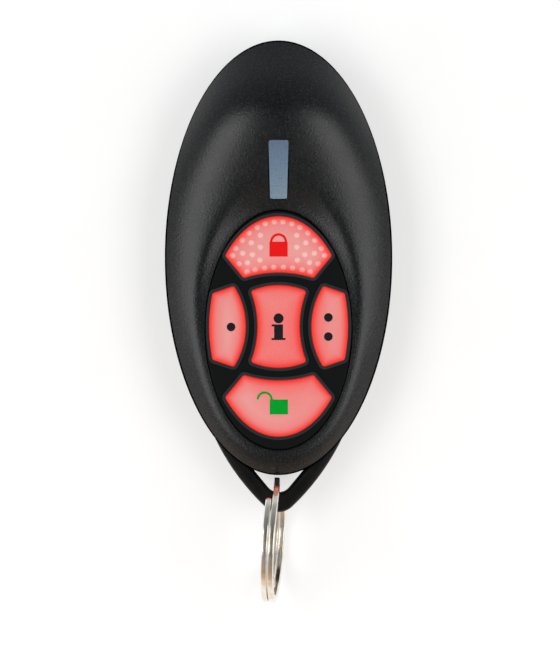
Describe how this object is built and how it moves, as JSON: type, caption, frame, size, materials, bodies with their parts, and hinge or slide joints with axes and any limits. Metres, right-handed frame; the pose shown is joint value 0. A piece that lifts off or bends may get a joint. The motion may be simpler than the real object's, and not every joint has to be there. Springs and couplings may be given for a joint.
{
  "type": "alarm key fob",
  "caption": "Oval black remote key fob with red backlit keys, a status lens and a split ring hanging on a moulded loop.",
  "frame": {"origin": "middle of the flat back of the rear cover, on the surface the fob lies on", "axes": "+Z out of the key face, +Y towards the crest above the status lens, -Y towards the key ring"},
  "size_m": [0.0366, 0.0906, 0.0203],
  "materials": {
    "satin_black": "fine satin texture",
    "soft_black": "matte, soft",
    "red_key": "translucent, lit from behind",
    "red_sign": "matte",
    "green_sign": "matte",
    "dark_sign": "matte",
    "switch_stem": "matte",
    "frosted_lens": "frosted",
    "board": "solder mask",
    "switch_body": "matte",
    "led": "clear resin",
    "chip": "matte",
    "can": "drawn can",
    "copper": "bare copper",
    "cell": "drawn steel can",
    "spring_metal": "spring strip",
    "screw_steel": "zinc",
    "nickel": "nickel plated"
  },
  "bodies": {
    "casing": {"front_cover": "satin_black", "rear_cover": "satin_black", "keypad_frame": "soft_black", "status_lens": "frosted_lens", "circuit_board": "board", "tact_switches": "switch_body", "backlight_leds": "led", "status_led": "led", "microcontroller": "chip", "radio_chip": "chip", "crystal": "can", "chip_components": "chip", "antenna_loop": "copper", "coin_cell": "cell", "battery_clip": "spring_metal", "battery_contact": "spring_metal", "cover_screws": "screw_steel"},
    "lock_key": {"lock_button": "red_key", "lock_legend": "red_sign", "lock_switch_stem": "switch_stem"},
    "unlock_key": {"unlock_button": "red_key", "unlock_legend": "green_sign", "unlock_switch_stem": "switch_stem"},
    "info_key": {"info_button": "red_key", "info_legend": "dark_sign", "info_switch_stem": "switch_stem"},
    "one_dot_key": {"one_dot_button": "red_key", "one_dot_legend": "dark_sign", "one_dot_switch_stem": "switch_stem"},
    "two_dot_key": {"two_dot_button": "red_key", "two_dot_legend": "dark_sign", "two_dot_switch_stem": "switch_stem"},
    "key_ring": {"split_ring": "nickel"}
  },
  "joints": [
    {"name": "lock_press", "type": "slide", "parent": "casing", "child": "lock_key", "axis": [0, 0, -1], "range_m": [0, 0.00035], "stiffness_N_per_m": 1500, "springref_m": -0.0003},
    {"name": "unlock_press", "type": "slide", "parent": "casing", "child": "unlock_key", "axis": [0, 0, -1], "range_m": [0, 0.00035], "stiffness_N_per_m": 1500, "springref_m": -0.0003},
    {"name": "info_press", "type": "slide", "parent": "casing", "child": "info_key", "axis": [0, 0, -1], "range_m": [0, 0.00035], "stiffness_N_per_m": 1500, "springref_m": -0.0003},
    {"name": "one_dot_press", "type": "slide", "parent": "casing", "child": "one_dot_key", "axis": [0, 0, -1], "range_m": [0, 0.00035], "stiffness_N_per_m": 1500, "springref_m": -0.0003},
    {"name": "two_dot_press", "type": "slide", "parent": "casing", "child": "two_dot_key", "axis": [0, 0, -1], "range_m": [0, 0.00035], "stiffness_N_per_m": 1500, "springref_m": -0.0003},
    {"name": "ring_swing", "type": "hinge", "parent": "casing", "child": "key_ring", "pos_m": [0, -0.0395, 0.00693], "axis": [1, 0, 0], "range_deg": [-4, 55]}
  ]
}
